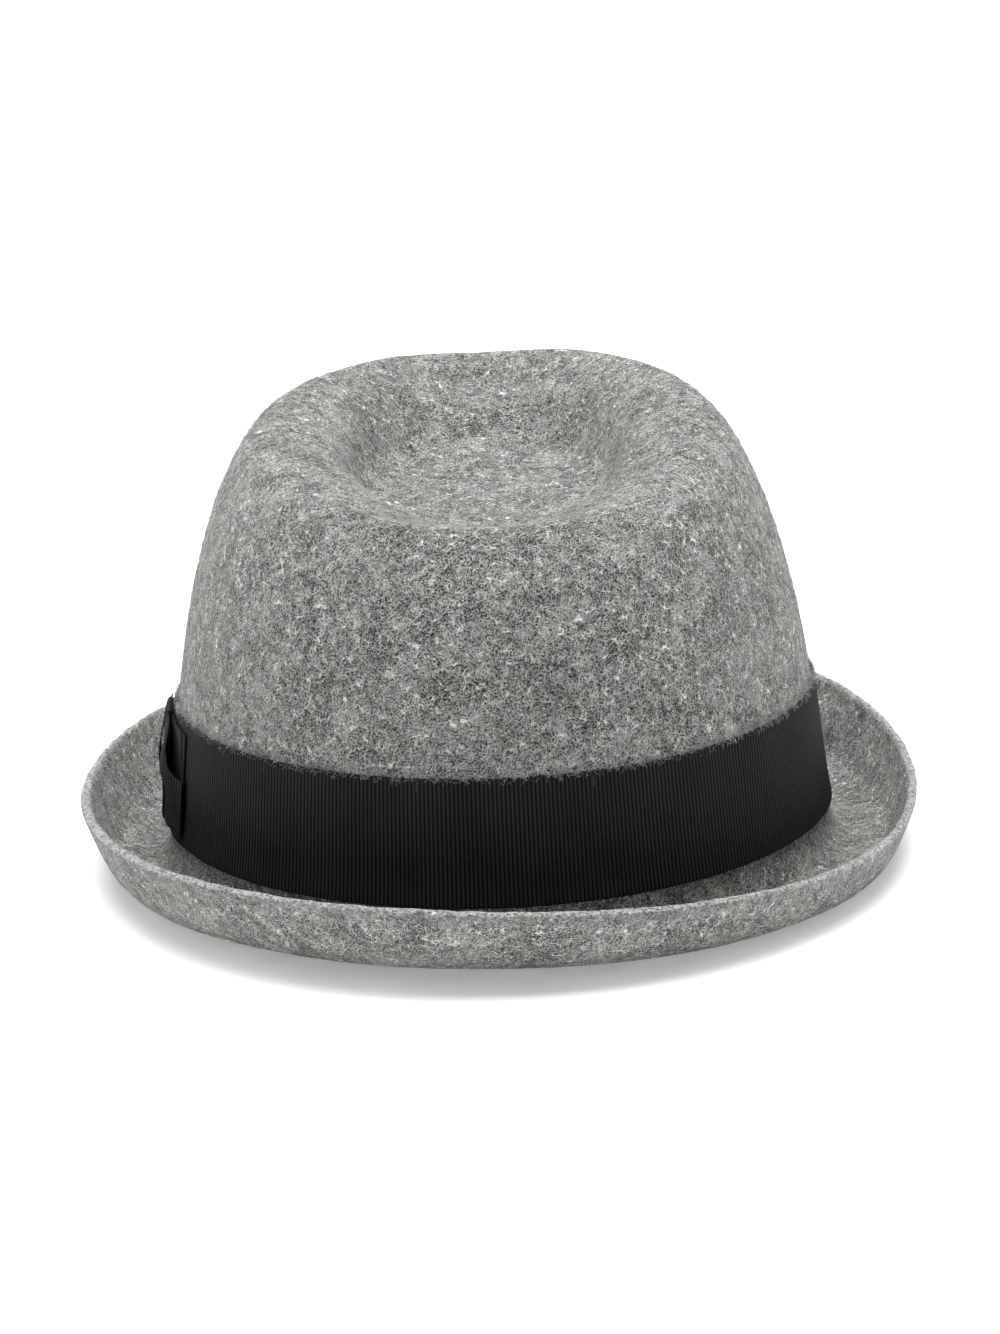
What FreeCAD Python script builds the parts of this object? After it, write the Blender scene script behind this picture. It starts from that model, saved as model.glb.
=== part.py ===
import FreeCAD, Part
import math
import os

import Sketcher
from FreeCAD import Placement, Rotation, Vector

# A short-brimmed felt hat, standing on its brim. Millimetres, +Z up, +X the wearer's left,
# -Y the wearer's front. The origin is the middle of the brim's box, on the surface it rests on.

# The felt's upper skin is drawn over a stack of oval rings, from the cut edge of the brim up
# the crown and down into the dent. Each ring has these sizes, one sheet cell apiece.
RING_WORDS = ("across", "along", "shift", "egg", "level", "tilt", "saddle")
RINGS = {
    "lip": (108.0, 137.0, -1.15, 0.0, 24.0, -7.0, -5.0),
    "brim_outer": (103.0, 131.5, 0.0, 0.0, 10.5, -5.0, -4.5),
    "brim_middle": (101.5, 121.0, 0.0, 0.0, 4.5, 0.0, 0.0),
    "brim_inner": (96.0, 109.0, 0.0, 0.0, 3.5, 0.0, 0.0),
    "break_line": (89.5, 102.0, 0.0, 0.0, 2.0, 0.0, 0.0),
    "band_foot": (86.5, 100.0, -0.5, 0.0, 6.5, 0.0, 0.0),
    "band_head": (83.5, 98.5, -1.0, 0.0, 45.0, 3.0, 1.5),
    "wall_middle": (78.5, 93.0, -1.0, 0.0, 72.0, 2.0, 1.5),
    "wall_top": (72.5, 83.5, 0.5, 0.0, 94.0, 0.0, 0.5),
    "shoulder": (64.0, 79.0, -3.5, 0.04, 112.0, -6.5, 1.0),
    "crest_outer": (53.5, 75.0, -8.0, 0.0, 115.0, -10.0, 3.5),
    "crest": (38.0, 60.0, -8.5, 0.04, 109.5, -8.5, 3.5),
    "crest_inner": (34.0, 49.0, -9.5, 0.12, 103.5, -6.0, 0.0),
    "dent_wall": (32.0, 45.0, -8.5, 0.18, 96.5, -5.5, 0.0),
    "dent_floor": (25.0, 36.0, -7.0, 0.2, 93.0, -5.0, 0.0),
    "floor_middle": (12.0, 19.0, -6.0, 0.15, 93.0, -2.5, 0.0),
    "centre": (0.0, 0.0, -6.0, 0.0, 93.0, 0.0, 0.0),
}
# How far the free brim's unevenness reaches into it, as a share of what the lip does.
SWAY = {"lip": 1.0, "brim_outer": 0.8, "brim_middle": 0.3}
DIP = {"lip": 1.0, "brim_outer": 0.45}
# The same for the two finger pinches at the front of the crown, and for the crest's low front.
PINCH = {"wall_middle": 0.1, "wall_top": 0.75, "shoulder": 1.0, "crest_outer": 0.5, "crest": 0.15}
VALLEY = {"shoulder": 0.5, "crest_outer": 1.0, "crest": 1.0, "crest_inner": 0.6}

DRIVING = {
    "felt_thickness": 2.4,
    "rest_drop": 0.55,
    "brim_twist": 2.0,
    "brim_lean": 1.6,
    "front_dip": 31.5,
    "front_dip_power": 10,
    "pinch_depth": 5.0,
    "pinch_turn": 38.0,
    "pinch_power": 20,
    "valley_depth": 2.0,
    "valley_power": 28,
    "ribbon_width": 32.0,
    "ribbon_thickness": 0.8,
    "ribbon_gap": 0.3,
    "ribbon_head": 43.9,
    "ribbon_tilt": 0.8,
    "ribbon_saddle": 0.4,
    "ribbon_tack_count": 12,
    "ribbon_tack_length": 3.0,
    "thread_radius": 0.25,
    "bow_bend_radius": 117.0,
    "bow_lean": 5.0,
    "bow_height": 28.0,
    "bow_level": 27.5,
    "bow_half_length": 33.0,
    "bow_root": 5.0,
    "bow_layer": 0.7,
    "bow_base_gap": 1.6,
    "bow_loop_gap": 2.5,
    "bow_loop_depth": 2.2,
    "keeper_gap": 0.5,
    "keeper_depth": 5.3,
    "keeper_height": 30.2,
    "keeper_width": 15.0,
    "sweatband_foot": 5.0,
    "sweatband_head": 37.0,
    "sweatband_gap": 0.4,
    "sweatband_thickness": 1.0,
    "sweatband_stitch_count": 84,
    "sweatband_stitch_length": 4.0,
    "sweatband_stitch_level": 9.0,
    "reed_radius": 0.8,
    "reed_level": 3.4,
    "reed_shift": -0.28,
    "reed_half_width": 85.0,
    "reed_half_length": 97.9,
    "lining_foot": 38.0,
    "lining_head": 78.0,
    "lining_gap": 0.8,
    "lining_thickness": 0.5,
    "tip_level": 77.6,
    "tip_half_width": 71.1,
    "tip_half_length": 82.1,
    "tip_shift": 1.0,
    "piping_radius": 0.7,
    "piping_level": 77.8,
    "piping_half_width": 72.0,
    "piping_half_length": 83.0,
    "seam_bow_width": 18.0,
    "seam_bow_height": 8.0,
    "seam_bow_waist": 2.4,
    "seam_bow_thickness": 0.8,
    "seam_bow_level": 16.0,
    "size_tag_width": 14.0,
    "size_tag_height": 18.0,
    "size_tag_thickness": 0.4,
    "size_tag_level": 25.0,
    "size_tag_turn": 118.0,
    "care_label_width": 22.0,
    "care_label_length": 27.0,
    "care_label_thickness": 0.5,
    "care_label_fold": 0.5,
    "care_label_hinge_level": 36.0,
    "care_label_turn": 60.0,
    "tag_gap": 0.9,
}

FRONT = -math.pi / 2
COLUMNS = 36
TURN_STEP = 2 * math.pi / COLUMNS
# A closed cubic curve passes inside its control points by this much, so they stand further out.
SPREAD = 3 / (2 + math.cos(TURN_STEP))
# The column that a periodic surface starts on lies one step before its first parameter.
TURNS = [TURN_STEP * (column - 1) for column in range(COLUMNS)]
# Parameters of the felt's skin that hold its standing wall, from the break to the shoulder.
WALL_RANGE = (2.8, 8.0)

os.makedirs("parts", exist_ok=True)
doc = FreeCAD.newDocument("felt_hat")
sheet = doc.addObject("Spreadsheet::Sheet", "sizes")
SUBPARTS = []


def fill_sheet():
    cells = dict(DRIVING)
    for ring, values in RINGS.items():
        for word, value in zip(RING_WORDS, values):
            cells[f"{ring}_{word}"] = value
    for row, (alias, value) in enumerate(cells.items(), start=1):
        sheet.set(f"A{row}", alias)
        sheet.set(f"B{row}", str(value))
        sheet.setAlias(f"B{row}", alias)
    doc.recompute()


def size(alias):
    return float(sheet.get(alias))


def keep(subpart):
    """Name the sub-part after its node and list it for export."""
    subpart.Label = subpart.Name
    SUBPARTS.append(subpart)
    return subpart


# ---- free-form skins -------------------------------------------------------------------------


def swell(turn, middle, power):
    """1 at one turn, falling smoothly to nothing away from it."""
    return math.cos((turn - middle) / 2) ** (2 * power)


def ring_point(ring, turn):
    """One point of a ring. The turn is 0 at the wearer's left and a quarter turn at the back."""
    across, along, shift, egg, level, tilt, saddle = (size(f"{ring}_{word}") for word in RING_WORDS)
    side = math.cos(turn)
    back = math.sin(turn)
    z = level - size("rest_drop") + tilt * back + saddle * math.cos(2 * turn)
    z += SWAY.get(ring, 0.0) * (size("brim_twist") * math.sin(2 * turn) + size("brim_lean") * side)
    z -= DIP.get(ring, 0.0) * size("front_dip") * swell(turn, FRONT, size("front_dip_power"))
    z -= VALLEY.get(ring, 0.0) * size("valley_depth") * swell(turn, FRONT, size("valley_power"))
    pinch = 0.0
    for hand in (-1, 1):
        middle = FRONT + hand * math.radians(size("pinch_turn"))
        pinch += PINCH.get(ring, 0.0) * size("pinch_depth") * swell(turn, middle, size("pinch_power"))
    x = SPREAD * across * side * (1 + egg * back) - pinch * side
    y = shift + SPREAD * along * back - pinch * back
    return Vector(x, y, z)


def sunk_rows(rows, depth):
    """The same net of points, moved square to its own surface and away from the outer side."""
    last = len(rows) - 1
    sunk = []
    for level, row in enumerate(rows):
        below = rows[max(level - 1, 0)]
        above = rows[min(level + 1, last)]
        moved = []
        for column, point in enumerate(row):
            around = row[(column + 1) % COLUMNS] - row[column - 1]
            outward = around.cross(above[column] - below[column])
            if level == last:
                outward = Vector(0, 0, 1)
            moved.append(point - outward.normalize() * depth)
        sunk.append(moved)
    return sunk


def skin(rows):
    """A cubic surface over rows of points: open along the profile, closed round the hat."""
    spans = len(rows) - 3
    surface = Part.BSplineSurface()
    surface.buildFromPolesMultsKnots(
        rows,
        [4] + [1] * (spans - 1) + [4],
        [1] * (COLUMNS + 1),
        list(range(spans + 1)),
        list(range(COLUMNS + 1)),
        False,
        True,
        3,
        3,
    )
    return surface


def free_loops(face):
    """The closed edges that bound a skin, lowest first, without its seam or its closed centre."""
    loops = [edge for edge in face.Edges if not edge.Degenerated and edge.isClosed()]
    return sorted(loops, key=lambda edge: edge.BoundBox.Center.z)


def wall_between(first, second):
    """The solid between two skins, closed by ruled strips along their free edges."""
    faces = [first.toShape(), second.toShape()]
    for near, far in zip(free_loops(faces[0]), free_loops(faces[1])):
        faces += Part.makeRuledSurface(near, far).Faces
    shell = Part.makeShell(faces)
    shell.sewShape()
    solid = Part.makeSolid(shell)
    if solid.Volume < 0:
        solid.reverse()
    return solid


def wall_point(surface, turn, level, distance):
    """A point at a distance outside the standing wall of a skin, at one turn and one level."""
    column = (turn / TURN_STEP) % COLUMNS
    low, high = WALL_RANGE
    for _ in range(30):
        middle = (low + high) / 2
        if surface.value(middle, column).z < level:
            low = middle
        else:
            high = middle
    point = surface.value(low, column)
    outward = surface.normal(low, column)
    if outward.x * point.x + outward.y * point.y < 0:
        outward = -outward
    return point + outward * distance


def strip(surface, near, far, foot, head):
    """A band that follows a skin's wall between two distances. Its edges are functions of the turn."""
    skins = []
    for distance in (near, far):
        rows = []
        for share in (0.0, 0.2, 0.4, 0.6, 0.8, 1.0):
            row = []
            for turn in TURNS:
                level = foot(turn) + share * (head(turn) - foot(turn))
                point = wall_point(surface, turn, level, distance)
                row.append(Vector(point.x * SPREAD, point.y * SPREAD, point.z))
            rows.append(row)
        skins.append(skin(rows))
    return wall_between(*skins)


def shaped(name, solid):
    feature = doc.addObject("Part::Feature", name)
    feature.Shape = solid
    feature.Placement = Placement()
    return keep(feature)


# ---- sketched bodies -------------------------------------------------------------------------


def new_body(name):
    return keep(doc.addObject("PartDesign::Body", name))


def sketch_on(body, role, suffix):
    """An empty sketch on one of the body's own origin planes."""
    sketch = body.newObject("Sketcher::SketchObject", f"{body.Name}_{suffix}")
    plane = next(feature for feature in body.Origin.OriginFeatures if feature.Role == role)
    sketch.AttachmentSupport = [(plane, "")]
    sketch.MapMode = "FlatFace"
    return sketch


def bind(sketch, constraint, expression):
    """Add a named dimension to a sketch and tie it to the sheet."""
    index = sketch.addConstraint(constraint)
    sketch.renameConstraint(index, f"size_{index}")
    sketch.setExpression(f"Constraints.size_{index}", expression)


def join(sketch, pairs):
    for first, first_end, second, second_end in pairs:
        sketch.addConstraint(Sketcher.Constraint("Coincident", first, first_end, second, second_end))


def draw_rectangle(sketch, left, right, bottom, top):
    """A rectangle whose four sides are sheet expressions measured from the sketch's origin."""
    x1, x2, y1, y2 = (doc_value(expression) for expression in (left, right, bottom, top))
    corners = [Vector(x1, y1), Vector(x2, y1), Vector(x2, y2), Vector(x1, y2)]
    lines = []
    for start, end in zip(corners, corners[1:] + corners[:1]):
        lines.append(sketch.addGeometry(Part.LineSegment(start, end), False))
    low, rightmost, high, leftmost = lines
    sides = (low, rightmost, high, leftmost)
    for side, following in zip(sides, sides[1:] + sides[:1]):
        join(sketch, [(side, 2, following, 1)])
    for line in (low, high):
        sketch.addConstraint(Sketcher.Constraint("Horizontal", line))
    for line in (rightmost, leftmost):
        sketch.addConstraint(Sketcher.Constraint("Vertical", line))
    bind(sketch, Sketcher.Constraint("DistanceX", -1, 1, low, 1, x1), left)
    bind(sketch, Sketcher.Constraint("DistanceX", -1, 1, low, 2, x2), right)
    bind(sketch, Sketcher.Constraint("DistanceY", -1, 1, low, 1, y1), bottom)
    bind(sketch, Sketcher.Constraint("DistanceY", -1, 1, high, 1, y2), top)


def doc_value(expression):
    """The present value of a sheet expression."""
    return float(sheet.evalExpression(expression))


def draw_sector(sketch, inner, outer, start, end):
    """A curved slab in plan: two arcs about the bow's bend centre, cut square across the bow."""
    bend = doc_value("sizes.bow_bend_radius")
    r1, r2, y1, y2 = (doc_value(expression) for expression in (inner, outer, start, end))
    centre = Vector(-bend, 0)
    arcs = []
    for radius in (r1, r2):
        circle = Part.Circle(centre, Vector(0, 0, 1), radius)
        arc = Part.ArcOfCircle(circle, math.asin(y1 / radius), math.asin(y2 / radius))
        arcs.append(sketch.addGeometry(arc, False))
    ends = []
    for y in (y1, y2):
        near = Vector(math.sqrt(r1 * r1 - y * y) - bend, y)
        far = Vector(math.sqrt(r2 * r2 - y * y) - bend, y)
        ends.append(sketch.addGeometry(Part.LineSegment(near, far), False))
    near_arc, far_arc = arcs
    first, second = ends
    join(
        sketch,
        [
            (near_arc, 1, first, 1),
            (far_arc, 1, first, 2),
            (near_arc, 2, second, 1),
            (far_arc, 2, second, 2),
            (near_arc, 3, far_arc, 3),
        ],
    )
    for line in ends:
        sketch.addConstraint(Sketcher.Constraint("Horizontal", line))
    sketch.addConstraint(Sketcher.Constraint("PointOnObject", near_arc, 3, -1))
    bind(sketch, Sketcher.Constraint("DistanceX", near_arc, 3, -1, 1, bend), "sizes.bow_bend_radius")
    bind(sketch, Sketcher.Constraint("Radius", near_arc, r1), inner)
    bind(sketch, Sketcher.Constraint("Radius", far_arc, r2), outer)
    bind(sketch, Sketcher.Constraint("DistanceY", -1, 1, first, 1, y1), start)
    bind(sketch, Sketcher.Constraint("DistanceY", -1, 1, second, 1, y2), end)


def draw_ellipse(sketch, half_width, half_length):
    """An oval about the sketch's origin, its long half along the sketch's second axis."""
    short = doc_value(half_width)
    long = doc_value(half_length)
    oval = Part.Ellipse(Vector(0, long), Vector(short, 0), Vector(0, 0))
    index = sketch.addGeometry(oval, False)
    sketch.exposeInternalGeometry(index)
    sketch.addConstraint(Sketcher.Constraint("Coincident", index, 3, -1, 1))
    major, minor = index + 1, index + 2
    sketch.addConstraint(Sketcher.Constraint("PointOnObject", major, 1, -2))
    bind(sketch, Sketcher.Constraint("Distance", major, 1, major, 2, 2 * long), f"2 * {half_length}")
    bind(sketch, Sketcher.Constraint("Distance", minor, 1, minor, 2, 2 * short), f"2 * {half_width}")


def pad(body, sketch, length, both_ways=False):
    feature = body.newObject("PartDesign::Pad", f"{body.Name}_pad")
    feature.Profile = sketch
    feature.setExpression("Length", length)
    feature.Midplane = both_ways
    body.Tip = feature
    return feature


def oval_tube(name, half_width, half_length, radius):
    """A closed round cord along an oval."""
    body = new_body(name)
    path = sketch_on(body, "XY_Plane", "path")
    draw_ellipse(path, half_width, half_length)
    section = sketch_on(body, "XZ_Plane", "section")
    x = doc_value(half_width)
    r = doc_value(radius)
    index = section.addGeometry(Part.Circle(Vector(x, 0), Vector(0, 0, 1), r), False)
    section.addConstraint(Sketcher.Constraint("PointOnObject", index, 3, -1))
    bind(section, Sketcher.Constraint("DistanceX", -1, 1, index, 3, x), half_width)
    bind(section, Sketcher.Constraint("Radius", index, r), radius)
    pipe = body.newObject("PartDesign::AdditivePipe", f"{name}_pipe")
    pipe.Profile = section
    pipe.Spine = (path, ["Edge1"])
    body.Tip = pipe
    return body


# ---- the hat's pieces ------------------------------------------------------------------------


def make_felt():
    """Crown and brim, blocked from one piece of felt. Returns its upper and its head-side skin."""
    rows = [[ring_point(ring, turn) for turn in TURNS] for ring in RINGS]
    upper = skin(rows)
    under = skin(sunk_rows(rows, size("felt_thickness")))
    shaped("felt_body", wall_between(upper, under))
    return upper, under


def ribbon_head(turn):
    tilt = size("ribbon_tilt") * math.sin(turn)
    return size("ribbon_head") + tilt + size("ribbon_saddle") * math.cos(2 * turn)


def ribbon_foot(turn):
    return ribbon_head(turn) - size("ribbon_width")


def make_ribbon(upper):
    near = size("ribbon_gap")
    far = near + size("ribbon_thickness")
    shaped("hat_band", strip(upper, near, far, ribbon_foot, ribbon_head))


def make_sweatband(under):
    near = -size("sweatband_gap")
    far = near - size("sweatband_thickness")
    foot = size("sweatband_foot")
    head = size("sweatband_head")
    shaped("sweatband", strip(under, near, far, lambda turn: foot, lambda turn: head))


def make_reed():
    half_width = "sizes.reed_half_width"
    half_length = "sizes.reed_half_length"
    reed = oval_tube("sweatband_reed", half_width, half_length, "sizes.reed_radius")
    reed.setExpression("Placement.Base.y", "sizes.reed_shift")
    reed.setExpression("Placement.Base.z", "sizes.reed_level")


def make_lining(under):
    near = -size("lining_gap")
    far = near - size("lining_thickness")
    foot = size("lining_foot")
    head = size("lining_head")
    shaped("lining_side", strip(under, near, far, lambda turn: foot, lambda turn: head))
    tip = new_body("lining_tip")
    outline = sketch_on(tip, "XY_Plane", "outline")
    draw_ellipse(outline, "sizes.tip_half_width", "sizes.tip_half_length")
    pad(tip, outline, "sizes.lining_thickness")
    tip.setExpression("Placement.Base.y", "sizes.tip_shift")
    tip.setExpression("Placement.Base.z", "sizes.tip_level")
    half_width = "sizes.piping_half_width"
    half_length = "sizes.piping_half_length"
    piping = oval_tube("lining_piping", half_width, half_length, "sizes.piping_radius")
    piping.setExpression("Placement.Base.y", "sizes.tip_shift")
    piping.setExpression("Placement.Base.z", "sizes.piping_level")


def bow_placement(upper):
    """The bow's own frame: on the ribbon at the wearer's left, leaning with the crown's wall."""
    on_ribbon = size("ribbon_gap") + size("ribbon_thickness")
    middle = wall_point(upper, 0.0, size("bow_level"), on_ribbon)
    return Placement(middle, Rotation(Vector(0, 1, 0), -size("bow_lean")))


def make_bow(upper):
    """The flat bow over the ribbon's join: a backing strip, a loop each way and a wrap."""
    place = bow_placement(upper)
    bend = "sizes.bow_bend_radius"
    sunk = "-sizes.bow_height / 2"

    base = new_body("bow_backing")
    plan = sketch_on(base, "XY_Plane", "plan")
    draw_sector(
        plan,
        f"{bend} + sizes.bow_base_gap",
        f"{bend} + sizes.bow_base_gap + sizes.bow_layer",
        "-sizes.bow_half_length + 2 * sizes.bow_layer",
        "sizes.bow_half_length - 2 * sizes.bow_layer",
    )
    pad(base, plan, "sizes.bow_height")

    back_of_loop = f"{bend} + sizes.bow_loop_gap"
    front_of_loop = f"{back_of_loop} + sizes.bow_loop_depth"
    spans = {
        "bow_loop_rear": ("sizes.bow_root", "sizes.bow_half_length"),
        "bow_loop_front": ("-sizes.bow_half_length", "-sizes.bow_root"),
    }
    for name, (start, end) in spans.items():
        loop = new_body(name)
        plan = sketch_on(loop, "XY_Plane", "plan")
        draw_sector(plan, back_of_loop, front_of_loop, start, end)
        draw_sector(
            plan,
            f"{back_of_loop} + sizes.bow_layer",
            f"{front_of_loop} - sizes.bow_layer",
            f"{start} + sizes.bow_layer",
            f"{end} - sizes.bow_layer",
        )
        pad(loop, plan, "sizes.bow_height")

    keeper = new_body("bow_keeper")
    section = sketch_on(keeper, "XZ_Plane", "section")
    wrap = "sizes.bow_layer"
    near = "sizes.keeper_gap"
    far = "sizes.keeper_gap + sizes.keeper_depth"
    half = "sizes.keeper_height / 2"
    draw_rectangle(section, near, far, f"-{half}", half)
    draw_rectangle(section, f"{near} + {wrap}", f"{far} - {wrap}", f"-{half} + {wrap}", f"{half} - {wrap}")
    pad(keeper, section, "sizes.keeper_width", both_ways=True)

    for piece in ("bow_backing", "bow_loop_rear", "bow_loop_front"):
        lowered = Placement(Vector(0, 0, doc_value(sunk)), Rotation())
        doc.getObject(piece).Placement = place.multiply(lowered)
    keeper.Placement = place


def inside_frame(under, turn, level, gap, plumb=False):
    """A frame on the sweatband's head side: X along the wall, Y outward, Z up the wall or plumb."""
    skin_gap = size("sweatband_gap") + size("sweatband_thickness") + gap
    point = wall_point(under, turn, level, -skin_gap)
    ahead = wall_point(under, turn - 0.05, level, -skin_gap)
    above = wall_point(under, turn, level + 1.0, -skin_gap)
    along = (ahead - point).normalize()
    up = Vector(0, 0, 1) if plumb else (above - point).normalize()
    return Placement(point, Rotation(along, up.cross(along), up, "XZY"))


def make_seam_bow(under):
    """A small flat bow that covers the sweatband's join at the back."""
    body = new_body("sweatband_bow")
    outline = sketch_on(body, "XZ_Plane", "outline")
    wide = size("seam_bow_width") / 2
    tall = size("seam_bow_height") / 2
    waist = size("seam_bow_waist") / 2
    corners = [Vector(-wide, -tall), Vector(0, -waist), Vector(wide, -tall)]
    corners += [Vector(wide, tall), Vector(0, waist), Vector(-wide, tall)]
    lines = []
    for start, end in zip(corners, corners[1:] + corners[:1]):
        lines.append(outline.addGeometry(Part.LineSegment(start, end), False))
    join(outline, [(lines[i], 2, lines[(i + 1) % len(lines)], 1) for i in range(len(lines))])
    places = [
        (0, "-sizes.seam_bow_width / 2", "-sizes.seam_bow_height / 2"),
        (1, None, "-sizes.seam_bow_waist / 2"),
        (2, "sizes.seam_bow_width / 2", "-sizes.seam_bow_height / 2"),
        (3, "sizes.seam_bow_width / 2", "sizes.seam_bow_height / 2"),
        (4, None, "sizes.seam_bow_waist / 2"),
        (5, "-sizes.seam_bow_width / 2", "sizes.seam_bow_height / 2"),
    ]
    for index, x, y in places:
        corner = corners[index]
        if x is None:
            outline.addConstraint(Sketcher.Constraint("PointOnObject", lines[index], 1, -2))
        else:
            bind(outline, Sketcher.Constraint("DistanceX", -1, 1, lines[index], 1, corner.x), x)
        bind(outline, Sketcher.Constraint("DistanceY", -1, 1, lines[index], 1, corner.y), y)
    pad(body, outline, "sizes.seam_bow_thickness", both_ways=True)
    gap = size("seam_bow_thickness") + size("tag_gap")
    body.Placement = inside_frame(under, math.pi / 2, size("seam_bow_level"), gap)


def make_tags(under):
    """Two blank labels: one laid flat on the sweatband, one that hangs free from its upper edge."""
    tag = new_body("size_label")
    outline = sketch_on(tag, "XZ_Plane", "outline")
    half_width = "sizes.size_tag_width / 2"
    half_height = "sizes.size_tag_height / 2"
    draw_rectangle(outline, f"-{half_width}", half_width, f"-{half_height}", half_height)
    pad(tag, outline, "sizes.size_tag_thickness", both_ways=True)
    turn = math.radians(size("size_tag_turn"))
    tag.Placement = inside_frame(under, turn, size("size_tag_level"), size("tag_gap"))

    label = new_body("care_label")
    outline = sketch_on(label, "XZ_Plane", "outline")
    half_width = "sizes.care_label_width / 2"
    foot = "sizes.care_label_fold - sizes.care_label_length"
    draw_rectangle(outline, f"-{half_width}", half_width, foot, "sizes.care_label_fold")
    pad(label, outline, "sizes.care_label_thickness", both_ways=True)
    turn = math.radians(size("care_label_turn"))
    gap = 2 * size("tag_gap")
    label.Placement = inside_frame(under, turn, size("care_label_hinge_level"), gap, plumb=True)
    hinge = label.Placement
    print("care label hinge", hinge.Base, "axis", hinge.Rotation.multVec(Vector(-1, 0, 0)))


def thread(name, index, start, end):
    """One straight stitch of thread between two points."""
    stitch = doc.addObject("Part::Cylinder", f"{name}_{index:02d}")
    stitch.setExpression("Radius", "sizes.thread_radius")
    stitch.Height = (end - start).Length
    stitch.Placement = Placement(start, Rotation(Vector(0, 0, 1), end - start))
    return stitch


def make_stitches(name, surface, count, length, level, distance, upright):
    """A round of equal stitches along a wall, lying level with it or standing up it."""
    stitches = []
    for index in range(count):
        turn = 2 * math.pi * (index + 0.5) / count
        middle = wall_point(surface, turn, level(turn), distance)
        if upright:
            other = wall_point(surface, turn, level(turn) + 1.0, distance)
        else:
            other = wall_point(surface, turn + 0.01, level(turn), distance)
        along = (other - middle).normalize() * (length / 2)
        stitches.append(thread(name, index, middle - along, middle + along))
    group = doc.addObject("Part::Compound", name)
    group.Links = stitches
    keep(group)


def make_all_stitches(upper, under):
    on_ribbon = size("ribbon_gap") + size("ribbon_thickness") + 2 * size("thread_radius")
    make_stitches(
        "ribbon_tacks",
        upper,
        int(size("ribbon_tack_count")),
        size("ribbon_tack_length"),
        lambda turn: ribbon_head(turn) - size("ribbon_tack_length"),
        on_ribbon,
        True,
    )
    on_sweatband = size("sweatband_gap") + size("sweatband_thickness") + 2 * size("thread_radius")
    make_stitches(
        "sweatband_stitches",
        under,
        int(size("sweatband_stitch_count")),
        size("sweatband_stitch_length"),
        lambda turn: size("sweatband_stitch_level"),
        -on_sweatband,
        False,
    )


def check_and_export():
    doc.recompute()
    for item in doc.Objects:
        failed = {"Invalid", "Error"} & set(item.State)
        if failed:
            raise RuntimeError(f"{item.Label} is {sorted(failed)}")
    for subpart in SUBPARTS:
        shape = subpart.Shape
        if shape.isNull() or not shape.isValid() or shape.Volume <= 0:
            raise RuntimeError(f"{subpart.Label} has no sound solid")
        shape.exportStep(f"parts/{subpart.Label}.step")
        box = shape.BoundBox
        print(f"{subpart.Label:20s} {len(shape.Solids):3d} {shape.Volume:10.1f} {box}")


fill_sheet()
upper_skin, under_skin = make_felt()
make_ribbon(upper_skin)
make_bow(upper_skin)
make_sweatband(under_skin)
make_reed()
make_lining(under_skin)
make_seam_bow(under_skin)
make_tags(under_skin)
make_all_stitches(upper_skin, under_skin)
check_and_export()
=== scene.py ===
import functools
import math

import bpy
import numpy as np
from mathutils import Matrix, Vector, noise


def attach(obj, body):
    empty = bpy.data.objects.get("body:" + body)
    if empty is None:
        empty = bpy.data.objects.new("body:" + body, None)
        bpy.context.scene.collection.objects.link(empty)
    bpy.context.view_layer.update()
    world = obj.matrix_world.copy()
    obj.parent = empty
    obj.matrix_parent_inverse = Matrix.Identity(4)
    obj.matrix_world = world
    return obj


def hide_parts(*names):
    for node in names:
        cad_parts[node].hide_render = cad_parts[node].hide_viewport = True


# A short-brimmed felt hat with a ribbed ribbon, a flat side bow, a sweatband and a lining.
# Metres, +Z up, +X the wearer's left, -Y the wearer's front. Turns are angles about +Z: 0 at the
# wearer's left, a quarter turn at the back.

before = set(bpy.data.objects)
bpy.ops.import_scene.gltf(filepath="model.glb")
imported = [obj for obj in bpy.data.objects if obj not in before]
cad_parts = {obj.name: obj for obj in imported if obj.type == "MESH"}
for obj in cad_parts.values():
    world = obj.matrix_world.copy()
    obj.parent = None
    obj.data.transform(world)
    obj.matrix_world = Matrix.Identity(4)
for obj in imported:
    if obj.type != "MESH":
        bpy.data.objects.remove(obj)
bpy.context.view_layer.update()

MM = 0.001
FRONT = -math.pi / 2

# ---- the felt's shape, as the CAD part has it ----

# across, along, shift, egg, level, tilt, saddle, in millimetres
RINGS = {
    "lip": (108, 137, -1.15, 0, 24, -7, -5),
    "brim_outer": (103, 131.5, 0, 0, 10.5, -5, -4.5),
    "brim_middle": (101.5, 121, 0, 0, 4.5, 0, 0),
    "brim_inner": (96, 109, 0, 0, 3.5, 0, 0),
    "break_line": (89.5, 102, 0, 0, 2, 0, 0),
    "band_foot": (86.5, 100, -0.5, 0, 6.5, 0, 0),
    "band_head": (83.5, 98.5, -1, 0, 45, 3, 1.5),
    "wall_middle": (78.5, 93, -1, 0, 72, 2, 1.5),
    "wall_top": (72.5, 83.5, 0.5, 0, 94, 0, 0.5),
    "shoulder": (64, 79, -3.5, 0.04, 112, -6.5, 1),
    "crest_outer": (53.5, 75, -8, 0, 115, -10, 3.5),
    "crest": (38, 60, -8.5, 0.04, 109.5, -8.5, 3.5),
    "crest_inner": (34, 49, -9.5, 0.12, 103.5, -6, 0),
    "dent_wall": (32, 45, -8.5, 0.18, 96.5, -5.5, 0),
    "dent_floor": (25, 36, -7, 0.2, 93, -5, 0),
    "floor_middle": (12, 19, -6, 0.15, 93, -2.5, 0),
    "centre": (0, 0, -6, 0, 93, 0, 0),
}
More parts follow.
